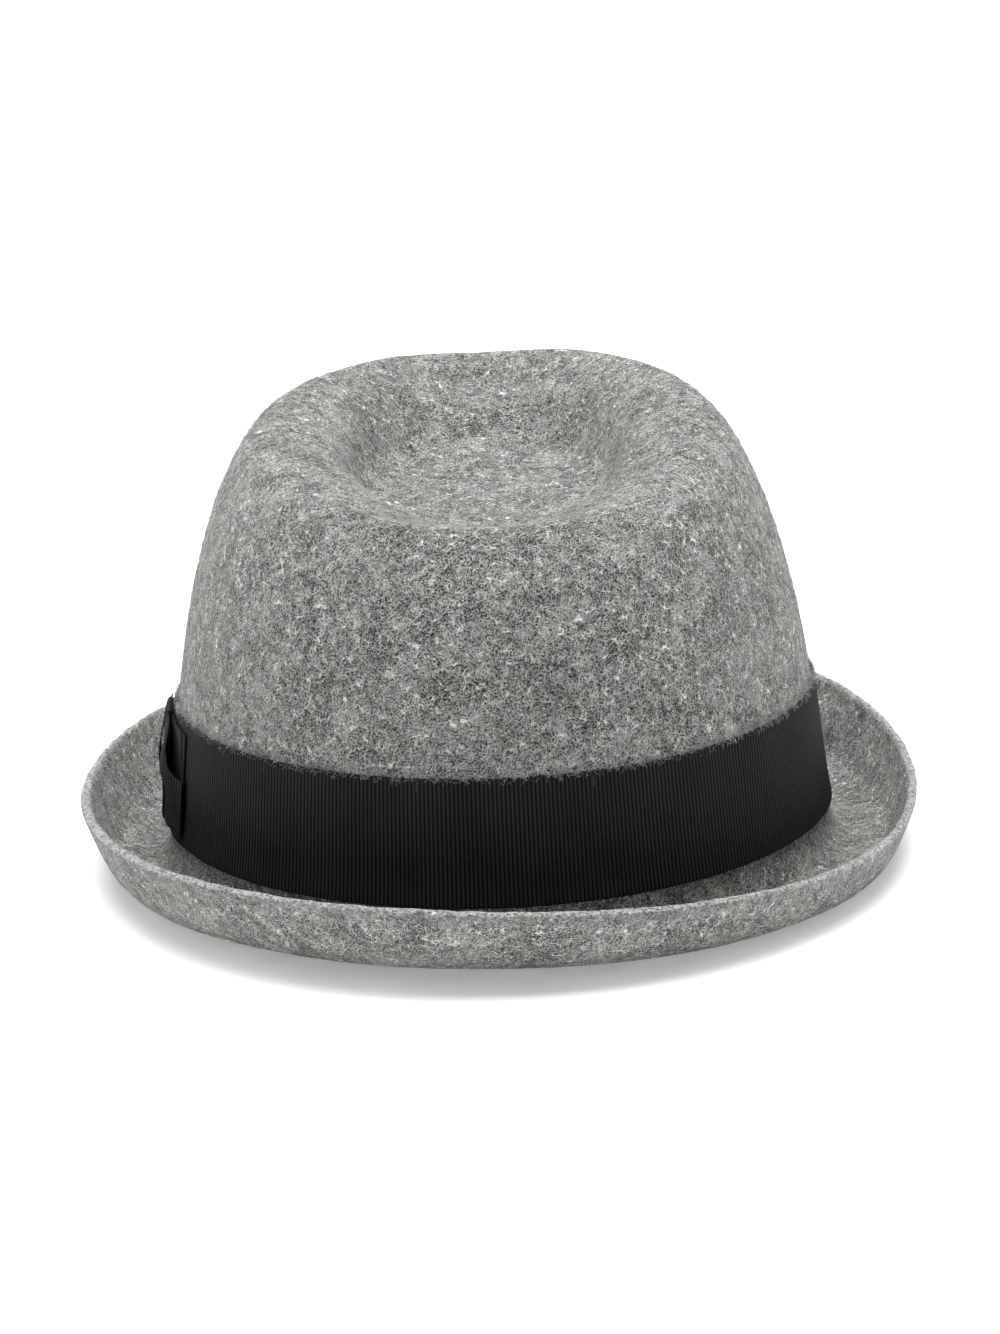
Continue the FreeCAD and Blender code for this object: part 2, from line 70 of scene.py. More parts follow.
# How much each ring takes part in the brim's twist and lean, its dip in front, the crown's two
# pinches and the valley before the dent.
SWAY = {"lip": 1.0, "brim_outer": 0.8, "brim_middle": 0.3}
DIP = {"lip": 1.0, "brim_outer": 0.45}
PINCH = {"wall_middle": 0.1, "wall_top": 0.75, "shoulder": 1.0, "crest_outer": 0.5, "crest": 0.15}
VALLEY = {"shoulder": 0.5, "crest_outer": 1.0, "crest": 1.0, "crest_inner": 0.6}
FELT_THICKNESS = 2.4
REST_DROP = 0.55
BRIM_TWIST = 2.0
BRIM_LEAN = 1.6
FRONT_DIP, FRONT_DIP_POWER = 31.5, 10
PINCH_DEPTH, PINCH_TURN, PINCH_POWER = 5.0, math.radians(38), 20
VALLEY_DEPTH, VALLEY_POWER = 2.0, 28
# The dent's wall rises in front, between two hollows, about one parameter of the profile.
SLOPE_U, SLOPE_SPREAD = 11.9, 0.8
SLOPE_RISE, SLOPE_POWER = 4.2, 45
HOLLOW_DEPTH, HOLLOW_TURN, HOLLOW_POWER = 1.5, 0.8, 40
# Parameters of the profile: 0 is the lip, the last is the middle of the dent.
CENTRE_U = len(RINGS) - 3.0
WALL_U = (2.8, 8.0)
WALL_SAMPLES = 80

# The ribbon's edges and layers, in millimetres.
RIBBON_WIDTH = 32.0
RIBBON_HEAD, RIBBON_TILT, RIBBON_SADDLE = 43.9, 0.8, 0.4
RIBBON_GAP = 0.3
RIBBON_THICKNESS = 0.8
RIB_COUNT = 500
RIB_PITCH = 1.17
RIB_RELIEF = 0.2
# One rib's profile, from one groove to just before the next.
RIB_PROFILE = np.array([0.0, 0.7, 0.96, 1.0, 0.96, 0.7])


def swell(turn, middle, power):
    """1 at one turn, falling smoothly to nothing away from it."""
    return np.cos((turn - middle) / 2) ** (2 * power)


def ring_points(turn):
    """The control points of the upper skin at each turn, one row per ring, in metres."""
    side = np.cos(turn)
    back = np.sin(turn)
    rows = []
    for name, (across, along, shift, egg, level, tilt, saddle) in RINGS.items():
        z = level - REST_DROP + tilt * back + saddle * np.cos(2 * turn)
        z = z + SWAY.get(name, 0.0) * (BRIM_TWIST * np.sin(2 * turn) + BRIM_LEAN * side)
        z = z - DIP.get(name, 0.0) * FRONT_DIP * swell(turn, FRONT, FRONT_DIP_POWER)
        z = z - VALLEY.get(name, 0.0) * VALLEY_DEPTH * swell(turn, FRONT, VALLEY_POWER)
        pinches = sum(swell(turn, FRONT + hand * PINCH_TURN, PINCH_POWER) for hand in (-1, 1))
        pinch = PINCH.get(name, 0.0) * PINCH_DEPTH * pinches
        x = across * side * (1 + egg * back) - pinch * side
        y = shift + along * back - pinch * back
        rows.append(np.stack([x, y, z], axis=-1))
    return np.array(rows) * MM


def profile_weights(u):
    """How much each ring counts at each profile parameter: a clamped cubic spline's weights."""
    knots = np.concatenate([np.zeros(3), np.arange(CENTRE_U + 1), np.full(3, CENTRE_U)])
    u = np.clip(u, 0, CENTRE_U - 1e-9)
    weights = [((knots[i] <= u) & (u < knots[i + 1])).astype(float) for i in range(len(knots) - 1)]
    for degree in (1, 2, 3):
        raised = []
        for i in range(len(weights) - 1):
            total = 0
            rise = knots[i + degree] - knots[i]
            fall = knots[i + degree + 1] - knots[i + 1]
            if rise > 0:
                total = total + (u - knots[i]) / rise * weights[i]
            if fall > 0:
                total = total + (knots[i + degree + 1] - u) / fall * weights[i + 1]
            raised.append(total + np.zeros_like(u))
        weights = raised
    return np.array(weights)


def dent_front(u, turn):
    """How much the dent's wall rises at its front, where it slopes gently between two hollows."""
    hollows = sum(swell(turn, FRONT + hand * HOLLOW_TURN, HOLLOW_POWER) for hand in (-1, 1))
    rise = SLOPE_RISE * swell(turn, FRONT, SLOPE_POWER) - HOLLOW_DEPTH * hollows
    return np.exp(-(((u - SLOPE_U) / SLOPE_SPREAD) ** 2)) * rise * MM


def on_skin(u, turn):
    """Points of the felt's upper skin. Columns of parameters and rows of turns make a grid."""
    points = np.einsum("r...,r...k->...k", profile_weights(u), ring_points(turn))
    points[..., 2] += dent_front(u, turn)
    return points


def outward(u, turn):
    """The upper skin's unit normal there, away from the head."""
    step = 1e-3
    up = on_skin(np.minimum(u + step, CENTRE_U - 1e-4), turn) - on_skin(np.maximum(u - step, 0), turn)
    around = on_skin(u, turn + step) - on_skin(u, turn - step)
    normal = np.cross(around, up)
    length = np.linalg.norm(normal, axis=-1, keepdims=True)
    return np.where(length > 1e-12, normal / np.maximum(length, 1e-12), (0.0, 0.0, 1.0))


def wall_u(level, turn, inside=False):
    """The profile parameter at which the standing wall reaches a level, for arrays of both."""
    samples = np.linspace(*WALL_U, WALL_SAMPLES)[:, None]
    columns = np.ravel(turn)[None, :]
    heights = on_skin(samples, columns)[..., 2]
    if inside:
        heights = heights - outward(samples, columns)[..., 2] * FELT_THICKNESS * MM
    pairs = zip(np.ravel(level), heights.T)
    found = [np.interp(sought, column, samples[:, 0]) for sought, column in pairs]
    return np.reshape(found, np.shape(turn))


def on_wall(level, turn, distance):
    """Points at a distance in metres outside the felt's outer wall, or inside its head-side wall
    where the distance is negative, at levels in metres."""
    level, turn, distance = np.broadcast_arrays(level, turn, distance)
    inside = bool(np.all(distance < 0))
    u = wall_u(level, turn, inside)
    sunk = FELT_THICKNESS * MM if inside else 0.0
    return on_skin(u, turn) + outward(u, turn) * (distance - sunk)[..., None]


# ---- meshes ----


def turns(count, start=0.0):
    return start + np.linspace(0, 2 * math.pi, count, endpoint=False)


def face_outward(mesh):
    """Turns a closed mesh's faces outward if it encloses its volume the wrong way round."""
    mesh.calc_loop_triangles()
    corners = np.empty(len(mesh.loop_triangles) * 3, dtype=np.int32)
    mesh.loop_triangles.foreach_get("vertices", corners)
    places = np.empty(len(mesh.vertices) * 3)
    mesh.vertices.foreach_get("co", places)
    a, b, c = places.reshape(-1, 3)[corners.reshape(-1, 3)].transpose(1, 0, 2)
    if np.einsum("ij,ij->", a, np.cross(b, c)) < 0:
        mesh.flip_normals()


def add_object(name, mesh):
    mesh.validate()
    face_outward(mesh)
    mesh.shade_smooth()
    piece = bpy.data.objects.new(name, mesh)
    bpy.context.scene.collection.objects.link(piece)
    return piece


def arc_lengths(points, closed):
    """Running length along rows of points, averaged over the other direction."""
    ring = np.concatenate([points, points[:1]]) if closed else points
    steps = np.linalg.norm(np.diff(ring, axis=0), axis=-1)
    steps = steps.mean(axis=-1) if steps.ndim > 1 else steps
    return np.concatenate([[0.0], np.cumsum(steps)])


def grid_object(name, grid, wrap_rows=False, wrap_columns=True, poles=(), ends=False, around=None):
    """A mesh over a grid of points, rows by columns. poles names the rows, first or last, that
    close to one point. ends closes an open strip's two ends. Its UVs are metres along the columns
    and the rows, or around gives the first of them at each column."""
    rows, columns = grid.shape[:2]
    points = grid.reshape(-1, 3).tolist()
    column_count = columns if wrap_columns else columns - 1
    along = arc_lengths(grid, wrap_rows)
    if around is None:
        widest = int(np.argmax(np.ptp(grid.reshape(rows, -1), axis=1)))
        around = arc_lengths(grid[widest], wrap_columns)
    faces = []
    uvs = []
    for r in range(rows if wrap_rows else rows - 1):
        for c in range(column_count):
            square = ((r, c), (r, c + 1), (r + 1, c + 1), (r + 1, c))
            faces.append([i % rows * columns + j % columns for i, j in square])
            uvs += [(around[j], along[i]) for i, j in square]
    for which in poles:
        row = 0 if which == "first" else rows - 1
        points.append(grid[row].mean(axis=0).tolist())
        for c in range(column_count):
            pair = (row * columns + (c + 1) % columns, row * columns + c)
            faces.append((*(pair if which == "first" else pair[::-1]), len(points) - 1))
            uvs += [(around[c], along[row])] * 3
    if ends:
        for column, flip in ((0, False), (columns - 1, True)):
            loop = [r * columns + column for r in range(rows)]
            faces.append(tuple(reversed(loop)) if flip else tuple(loop))
            uvs += [(around[column], along[r]) for r in range(rows)]
    mesh = bpy.data.meshes.new(name)
    mesh.from_pydata(points, [], faces)
    layer = mesh.uv_layers.new(name="Along")
    layer.data.foreach_set("uv", np.array(uvs, dtype=float).ravel())
    return add_object(name, mesh)


def unit(vectors):
    return vectors / np.maximum(np.linalg.norm(vectors, axis=-1, keepdims=True), 1e-12)


# A sheet's long edges are rounded: thinner there, and reaching out a part of the thickness.
EDGE_SHARE, EDGE_REACH = 0.6, 0.35


def cloth_object(name, middle, thickness, relief=0.0, closed=False, around=None):
    """A thin solid sheet over a grid of its middle surface, rows across it and columns along it.
    Its front is where the columns' direction crossed with the rows' points. relief raises it."""
    up = unit(np.gradient(middle, axis=0))
    if closed:
        along = np.roll(middle, -1, axis=1) - np.roll(middle, 1, axis=1)
    else:
        along = np.gradient(middle, axis=1)
    normal = unit(np.cross(along, up))
    half = np.full((middle.shape[0], 1), thickness / 2)
    half[[0, -1]] *= EDGE_SHARE
    front = middle + normal * (half + relief)[..., None]
    back = middle - normal * np.broadcast_to(half, normal.shape[:2])[..., None]
    head = middle[-1:] + up[-1:] * EDGE_REACH * thickness
    foot = middle[:1] - up[:1] * EDGE_REACH * thickness
    grid = np.concatenate([front, head, back[::-1], foot])
    return grid_object(name, grid, wrap_rows=True, wrap_columns=closed, ends=not closed, around=around)


def tubes_object(name, spines, radii, side, sides=6):
    """Closed tapered tubes in one mesh. spines is tubes by stations by 3, radii has one for each
    station, and side is a direction across each tube."""
    count, stations = spines.shape[:2]
    ahead = unit(np.gradient(spines, axis=1))
    across = unit(np.cross(ahead, side[:, None, :]))
    lifted = np.cross(ahead, across)
    corner = turns(sides)
    ring = across[:, :, None] * np.cos(corner)[:, None] + lifted[:, :, None] * np.sin(corner)[:, None]
    points = spines[:, :, None] + ring * np.asarray(radii)[:, None, None]
    pattern = [tuple(range(sides))[::-1]]
    for station in range(stations - 1):
        for index in range(sides):
            a = station * sides + index
            b = station * sides + (index + 1) % sides
            pattern.append((a, b, b + sides, a + sides))
    pattern.append(tuple(range((stations - 1) * sides, stations * sides)))
    faces = []
    for tube in range(count):
        base = tube * stations * sides
        faces += [tuple(base + i for i in face) for face in pattern]
    mesh = bpy.data.meshes.new(name)
    mesh.from_pydata(points.reshape(-1, 3).tolist(), [], faces)
    return add_object(name, mesh)


def even_path(points, count, closed=False):
    """The same line through points, cut into stations an equal distance apart."""
    run = arc_lengths(points, closed)
    line = np.concatenate([points, points[:1]]) if closed else points
    stations = np.linspace(0, run[-1], count, endpoint=not closed)
    return np.stack([np.interp(stations, run, column) for column in line.T], axis=1)


def squared(wave, power):
    """A sine or cosine with flatter peaks, for a rectangle with rounded corners."""
    return np.sign(wave) * np.abs(wave) ** power


def uneven(points, *waves):
    """Smooth noises added up, in metres, at an array of points. Each wave is a size and a height
    in millimetres, and a seed."""
    total = 0.0
    for size, height, seed in waves:
        values = [noise.noise(Vector(p)) for p in points.reshape(-1, 3) / (size * MM) + seed]
        total = total + np.array(values).reshape(points.shape[:-1]) * height * MM
    return total


# ---- materials ----


class Nodes:
    """A short way to write a material's node tree."""

    def __init__(self, name, roughness, **constants):
        self.material = bpy.data.materials.new(name)
        self.material.use_nodes = True
        self.tree = self.material.node_tree
        self.shader = self.tree.nodes["Principled BSDF"]
        self.shader.inputs["Roughness"].default_value = roughness
        for socket, value in constants.items():
            self.shader.inputs[socket.replace("_", " ")].default_value = value
        self.place = self.tree.nodes.new("ShaderNodeTexCoord").outputs["Object"]

    def put(self, source, socket):
        """Links a socket to another node's, or sets a plain number or colour on it."""
        if isinstance(source, bpy.types.NodeSocket):
            self.tree.links.new(source, socket)
        else:
            socket.default_value = (*source, 1.0) if socket.type == "RGBA" else source

    def add(self, kind, inputs, **settings):
        node = self.tree.nodes.new(kind)
        for key, value in settings.items():
            setattr(node, key, value)
        for key, source in inputs.items():
            self.put(source, node.inputs[key])
        return node

    def value(self, operation, *sources):
        """Arithmetic on sockets and plain numbers."""
        return self.add("ShaderNodeMath", dict(enumerate(sources)), operation=operation).outputs[0]

    def vector(self, operation, inputs):
        return self.add("ShaderNodeVectorMath", inputs, operation=operation).outputs[0]

    def uv(self):
        return self.add("ShaderNodeUVMap", {}, uv_map="Along").outputs[0]

    def curled(self, source, size, reach):
        """The same coordinates, pushed about by noise so that straight streaks bend."""
        swirl = self.add("ShaderNodeTexNoise", {"Vector": source, "Scale": 1 / size, "Detail": 1.0})
        centred = self.vector("SUBTRACT", {0: swirl.outputs["Color"], 1: (0.5, 0.5, 0.5)})
        return self.vector("ADD", {0: source, 1: self.vector("SCALE", {0: centred, "Scale": reach})})

    def noise(self, source, size, detail=2.0, roughness=0.5):
        inputs = {"Vector": source, "Scale": 1 / size, "Detail": detail, "Roughness": roughness}
        return self.add("ShaderNodeTexNoise", inputs).outputs["Fac"]

    def bands(self, source, pitch, direction, distortion=0.0):
        """Sine bands for threads and plies."""
        inputs = {"Vector": source, "Scale": 0.5 / pitch, "Distortion": distortion}
        node = self.add("ShaderNodeTexWave", inputs, wave_type="BANDS", bands_direction=direction)
        return node.outputs["Fac"]

    def fibres(self, source, size, width, shift):
        """Fine curly lines: where a soft noise passes its middle value."""
        moved = self.add("ShaderNodeMapping", {"Vector": source, "Location": shift}).outputs[0]
        field = self.noise(moved, size, detail=0.0)
        away = self.value("ABSOLUTE", self.value("SUBTRACT", field, 0.5))
        return self.ramp(away, [(0.0, 1.0), (width, 0.0)])

    def ramp(self, source, stops):
        """Piecewise linear from a socket to a grey or a colour; stops are (place, value)."""
        node = self.add("ShaderNodeValToRGB", {0: source})
        elements = node.color_ramp.elements
        while len(elements) < len(stops):
            elements.new(0.5)
        for element, (place, value) in zip(elements, stops):
            element.position = place
            colour = (value,) * 3 if isinstance(value, (int, float)) else value
            element.color = (*colour, 1.0)
        return node.outputs[0]

    def mix(self, factor, first, second, blend="MIX"):
        inputs = {0: factor, 6: first, 7: second}
        return self.add("ShaderNodeMix", inputs, data_type="RGBA", blend_type=blend).outputs[2]

    def colour(self, source):
        self.put(source, self.shader.inputs["Base Color"])

    def roughness(self, source):
        self.put(source, self.shader.inputs["Roughness"])

    def bump(self, source, distance, strength=1.0):
        inputs = {"Height": source, "Distance": distance, "Strength": strength}
        self.put(self.add("ShaderNodeBump", inputs).outputs[0], self.shader.inputs["Normal"])


# The felt's marl, in millimetres: its fibres' curls, clumps, grain and patches. The three last add
# up by these weights to a tone, which the stops turn into grey.
FIBRE_SIZE, FIBRE_WIDTH = 1.6, 0.027
MARL = ((2.6, 2.0, 0.10), (0.38, 1.0, 0.70), (9.0, 2.0, 0.20))
MARL_STOPS = [(0.437, 0.02), (0.5, 0.148), (0.563, 0.44)]
PALE_FIBRES = ((1.0, (0.0, 0.0, 0.0)), (1.5, (0.13, 0.27, 0.11)), (0.8, (0.41, 0.07, 0.19)))
DARK_FIBRES = ((1.2, (0.31, 0.17, 0.05)), (0.8, (0.53, 0.37, 0.25)))
FELT_TINTS = [(0.36, (0.93, 1.0, 0.965)), (0.5, (0.985, 1.0, 0.96)), (0.64, (1.07, 1.0, 0.895))]


def felt_material():
    """Marled wool: mid grey with pale and dark fibres matted in every direction, and a paler raw
    edge where the brim was cut."""
    nodes = Nodes(
        "marled_felt", 0.95, Sheen_Weight=0.2, Sheen_Roughness=0.45, Sheen_Tint=(0.8, 0.8, 0.8, 1.0),
        Specular_IOR_Level=0.12,
    )
    curly = nodes.curled(nodes.place, 1.5 * MM, 0.7 * MM)

    def matted(layers):
        sets = [nodes.fibres(curly, share * FIBRE_SIZE * MM, FIBRE_WIDTH, shift) for share, shift in layers]
        return functools.reduce(functools.partial(nodes.value, "MAXIMUM"), sets)

    pale = matted(PALE_FIBRES)
    dark = matted(DARK_FIBRES)
    fields = [nodes.noise(nodes.place, size * MM, detail, roughness=0.6) for size, detail, _ in MARL]
    parts = [nodes.value("MULTIPLY", field, weight) for field, (_, _, weight) in zip(fields, MARL)]
    tone = functools.reduce(functools.partial(nodes.value, "ADD"), parts)
    clumps = fields[0]
    body = nodes.ramp(tone, MARL_STOPS)
    hue = nodes.noise(nodes.place, 5 * MM, roughness=0.6)
    tinted = nodes.mix(1.0, body, nodes.ramp(hue, FELT_TINTS), "MULTIPLY")
    pale_share = nodes.value("MULTIPLY", pale, nodes.ramp(clumps, [(0.40, 0.3325), (0.58, 0.95)]))
    dark_share = nodes.value("MULTIPLY", dark, nodes.ramp(clumps, [(0.42, 0.97), (0.6, 0.485)]))
    pitting = nodes.noise(nodes.place, 2.4 * MM, detail=3.0, roughness=0.7)
    pits = nodes.ramp(pitting, [(0.34, 0.6), (0.44, 0.0)])
    pitted = nodes.mix(pits, tinted, (0.03, 0.031, 0.032))
    darker = nodes.mix(dark_share, pitted, (0.01, 0.01, 0.011))
    lighter = nodes.mix(pale_share, darker, (0.9, 0.9, 0.855))
    cut = nodes.add("ShaderNodeAttribute", {}, attribute_name="cut_edge").outputs["Fac"]
    shreds = nodes.noise(nodes.place, 0.9 * MM)
    raw = nodes.ramp(shreds, [(0.38, 0.14), (0.5, 0.42), (0.62, 0.62)])
    nodes.colour(nodes.mix(nodes.value("MULTIPLY", cut, 0.6), lighter, raw))
    nodes.bump(nodes.value("ADD", pale, tone), 0.5 * MM, 0.8)
    return nodes.material


def strand_material(name, low, high):
    """Single wool fibres, each between a dark and a pale tone."""
    nodes = Nodes(name, 0.8, Sheen_Weight=0.3, Sheen_Roughness=0.4)
    nodes.colour(nodes.ramp(nodes.noise(nodes.place, 5 * MM), [(0.35, low), (0.65, high)]))
    nodes.bump(nodes.noise(nodes.place, 0.3 * MM), 0.02 * MM)
    return nodes.material


def ribbon_material():
    """Black grosgrain with painted shade: its grooves between the ribs are darkened to near black. Its
    first UV counts the ribs, and the second is metres across the ribbon.
    """
    nodes = Nodes("black_grosgrain", 0.65, Specular_IOR_Level=0.08)
    parts = nodes.add("ShaderNodeSeparateXYZ", {0: nodes.uv()}).outputs
    way = nodes.value("SUBTRACT", nodes.value("FRACT", parts[0]), 0.5)
    in_rib = nodes.value("ABSOLUTE", way)
    crown = nodes.ramp(in_rib, [(0.14, 1.0), (0.4, 0.0)])
    across = nodes.value("MULTIPLY", parts[1], 2 * math.pi / (0.32 * MM))
    threads = nodes.value("MULTIPLY_ADD", nodes.value("SINE", across), 0.5, 0.5)
    cloud = nodes.noise(nodes.place, 14 * MM, detail=3.0)
    lint = nodes.ramp(nodes.noise(nodes.place, 0.7 * MM), [(0.67, 0.0), (0.78, 1.0)])
    base = nodes.ramp(cloud, [(0.3, (0.0175, 0.0182, 0.0215)), (0.7, (0.026, 0.0267, 0.031))])
    lit = nodes.mix(nodes.value("MULTIPLY", threads, 0.25), base, (0.030, 0.029, 0.031))
    # Painted shade: the grooves between the ribs take a near-black colour, and only the ribs' crowns show
    # the ribbon's own colour.
    rib_unshaded_share = nodes.value("MULTIPLY_ADD", crown, 0.94, 0.06)
    groove_shaded = nodes.mix(rib_unshaded_share, (0.0005, 0.0005, 0.0006), lit)
    nodes.colour(nodes.mix(nodes.value("MULTIPLY", lint, 0.12), groove_shaded, (0.12, 0.12, 0.12)))
    nodes.roughness(nodes.ramp(threads, [(0.0, 0.72), (1.0, 0.6)]))
    nodes.bump(nodes.value("MULTIPLY", threads, crown), 0.05 * MM, 0.6)
    return nodes.material


def leather_material():
    """Smooth dark leather: small cells of grain, polished unevenly by wear."""
    nodes = Nodes("sweatband_leather", 0.45, Specular_IOR_Level=0.4)
    inputs = {"Vector": nodes.curled(nodes.place, 3 * MM, 0.8 * MM), "Scale": 1 / (0.9 * MM)}
    grain = nodes.add("ShaderNodeTexVoronoi", inputs, feature="DISTANCE_TO_EDGE")
    cells = nodes.ramp(grain.outputs["Distance"], [(0.0, 0.0), (0.25, 1.0)])
    wear = nodes.noise(nodes.place, 18 * MM, detail=4.0)
    nodes.colour(nodes.ramp(wear, [(0.3, (0.028, 0.018, 0.013)), (0.7, (0.062, 0.040, 0.027))]))
    nodes.roughness(nodes.ramp(wear, [(0.3, 0.52), (0.7, 0.38)]))
    nodes.bump(cells, 0.12 * MM, 0.6)
    return nodes.material


def satin_material(name, flat=False):
    """Lining cloth: fine warp threads with a soft sheen, along the UVs or, if flat, across it."""
    nodes = Nodes(name, 0.4, Sheen_Weight=0.3, Sheen_Roughness=0.3, Anisotropic=0.5)
    warp = nodes.bands(nodes.place if flat else nodes.uv(), 0.3 * MM, "X", 1.5)
    cloud = nodes.noise(nodes.place, 20 * MM, detail=3.0)
    base = nodes.ramp(cloud, [(0.3, (0.020, 0.022, 0.028)), (0.7, (0.034, 0.037, 0.046))])
    shine = nodes.value("MULTIPLY", warp, 0.3)
    nodes.colour(nodes.mix(shine, base, (0.07, 0.075, 0.09)))
    nodes.roughness(nodes.ramp(cloud, [(0.3, 0.42), (0.7, 0.34)]))
    nodes.bump(warp, 0.04 * MM, 0.5)
    return nodes.material


def tape_material(name, low, high):
    """Woven tape: two sets of threads that cross."""
    nodes = Nodes(name, 0.75, Sheen_Weight=0.15)
    warp, weft = (nodes.bands(nodes.uv(), 0.35 * MM, direction, 0.6) for direction in ("X", "Y"))
    cross = nodes.value("MAXIMUM", warp, weft)
    cloud = nodes.noise(nodes.place, 6 * MM, detail=3.0)
    nodes.colour(nodes.mix(nodes.value("MULTIPLY", cross, cloud), low, high))
    nodes.bump(cross, 0.06 * MM, 0.6)
    return nodes.material


def thread_material(name, low, high):
    """Twisted thread: slanting plies along each stitch."""
    nodes = Nodes(name, 0.6, Sheen_Weight=0.3)
    ply = nodes.bands(nodes.place, 0.5 * MM, "DIAGONAL")
    nodes.colour(nodes.mix(ply, low, high))
    nodes.bump(ply, 0.08 * MM)
    return nodes.material


# ---- the hat's pieces ----


def dress(piece, material, body, slot, *nodes):
    piece.data.materials.clear()
    piece.data.materials.append(material)
    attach(piece, body)
    if nodes:
        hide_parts(*nodes)
    return piece


SKIN_COLUMNS = 400
SKIN_ROWS = 188
EDGE_ROWS = 4
UNDER_ROWS = 48
# The profile is covered by the ribbon between these parameters, and calmer there.
COVERED_U = (3.0, 6.5)


def spread_rows(count, last):
    """Profile parameters an equal distance apart, as far as a distance before the dent's middle."""
    samples = np.linspace(0, CENTRE_U, 900)
    lengths = arc_lengths(on_skin(samples, np.full(900, math.pi / 4)), False)
    return np.interp(np.linspace(0, lengths[-1] - last, count), lengths, samples)


def fading(u, reach, power):
    """1 at the brim's lip, falling to nothing at a parameter of the profile, as a column."""
    return (np.clip(1 - u / reach, 0, 1) ** power)[..., None]


def felt_rows():
    """Rows of points from the middle of the dent, over the brim's cut edge, to the middle again."""
    around = turns(SKIN_COLUMNS)
    u, turn = np.meshgrid(spread_rows(SKIN_ROWS, 0.6 * MM), around, indexing="ij")
    upper = on_skin(u, turn)
    waves = uneven(upper, (55, 0.45, 0.0), (22, 0.22, 3.1), (3.4, 0.16, 5.7), (8, 0.16, 9.3))
    low, high = COVERED_U
    covered = np.clip((u - low) / 0.5, 0, 1) * np.clip((high - u) / 0.6, 0, 1)
    upper = upper + outward(u, turn) * (waves * (1 - 0.9 * covered))[..., None]
    ragged = uneven(on_skin(np.zeros(SKIN_COLUMNS), around), (6, 0.3, 2.2), (1.8, 0.22, 4.4))
    rise = unit(upper[0] - upper[1])
    torn = rise * ragged[:, None]
    upper = upper + torn * fading(u, 3.2, 6)

    u, turn = np.meshgrid(spread_rows(UNDER_ROWS, 1.5 * MM), around, indexing="ij")
    normal = outward(u, turn)
    under = on_skin(u, turn) - normal * FELT_THICKNESS * MM
    waves = uneven(under, (50, 0.4, 1.3), (4, 0.15, 8.8))
    under = under + normal * waves[..., None] * fading(u, 2.6, 1) + torn * fading(u, 3.2, 6)

    shares = np.linspace(0, 1, EDGE_ROWS + 2)[1:-1, None, None]
    edge = upper[0] * (1 - shares) + under[0] * shares
    crown = np.sin(shares[..., 0] * math.pi) * 0.45 * MM + uneven(edge, (1.2, 0.18, 6.6))
    return np.concatenate([upper[::-1], edge + rise * crown[..., None], under])


def make_felt():
    """The crown and brim, with an attribute that marks the brim's cut edge."""
    grid = felt_rows()
    piece = grid_object("felt_body_cloth", grid, poles=("first", "last"))
    row = np.abs(np.arange(len(grid)) - (SKIN_ROWS + (EDGE_ROWS - 1) / 2))
    cut = np.repeat(np.clip((EDGE_ROWS / 2 + 1.2 - row) / 1.2, 0, 1), SKIN_COLUMNS)
    values = np.zeros(len(piece.data.vertices))
    values[: len(cut)] = cut
    piece.data.attributes.new("cut_edge", "FLOAT", "POINT").data.foreach_set("value", values)
    dress(piece, felt_material(), "hat", "felt", "felt_body")


def make_strands(name, count, seed, radius, reach, lift, material, zone=None):
    """Loose fibres: thin strands that start in the felt's outer skin and lie over it in any
    direction, or, within a zone of profile parameters, hang down from it."""
    rng = np.random.default_rng(seed)
    pool = 4 * count
    u = rng.uniform(*(zone or (0.05, CENTRE_U - 0.3)), pool)
    turn = rng.uniform(0, 2 * math.pi, pool)
    step = 0.01
    up = on_skin(u + step, turn) - on_skin(u - step, turn)
    around = on_skin(u, turn + step) - on_skin(u, turn - step)
    cell = np.linalg.norm(np.cross(up, around), axis=-1)
    level = on_skin(u, turn)[:, 2]
    bare = (level < ribbon_head(turn) - RIBBON_WIDTH * MM) | (level > ribbon_head(turn))
    chance = cell / cell.max() * bare
    chosen = rng.choice(pool, count, replace=False, p=chance / chance.sum())
    u, turn = u[chosen], turn[chosen]
    up, around = unit(up[chosen]), unit(around[chosen])
    normal = outward(u, turn)
    heading = rng.uniform(0, 2 * math.pi, count) if zone is None else rng.uniform(2.2, 4.1, count)
    length = rng.uniform(*reach, count)
    bend = rng.uniform(-2.2, 2.2, count)
    height = rng.uniform(*lift, count)
    place = on_skin(u, turn) - normal * 0.15 * MM
    spine = []
    for index, share in enumerate(np.linspace(0, 1, 4)):
        if index:
            angle = heading + bend * share
            run = up * np.cos(angle)[:, None] + around * np.sin(angle)[:, None]
            place = place + run * (length / 3)[:, None]
        spine.append(place + normal * (height * math.sin(share * 2.2))[:, None])
    radii = radius * np.array([1.0, 1.0, 0.8, 0.35])
    piece = tubes_object(name, np.array(spine).transpose(1, 0, 2), radii, normal, sides=3)
    dress(piece, material, "hat", "felt")


def ribbon_head(turn):
    return (RIBBON_HEAD + RIBBON_TILT * np.sin(turn) + RIBBON_SADDLE * np.cos(2 * turn)) * MM


def ribbed_cloth(name, rows, layer, material, node, closed):
    """Grosgrain over rows of points, a whole number of ribs long. Its first UV counts the ribs."""
    count = len(rows[0])
    relief = RIB_PROFILE[np.arange(count) % len(RIB_PROFILE)] * RIB_RELIEF * MM
    around = np.arange(count + closed) / len(RIB_PROFILE)
    thickness = (layer - RIB_RELIEF) * MM
    piece = cloth_object(name, np.array(rows), thickness, relief, closed=closed, around=around)
    return dress(piece, material, "hat", "ribbon", node)


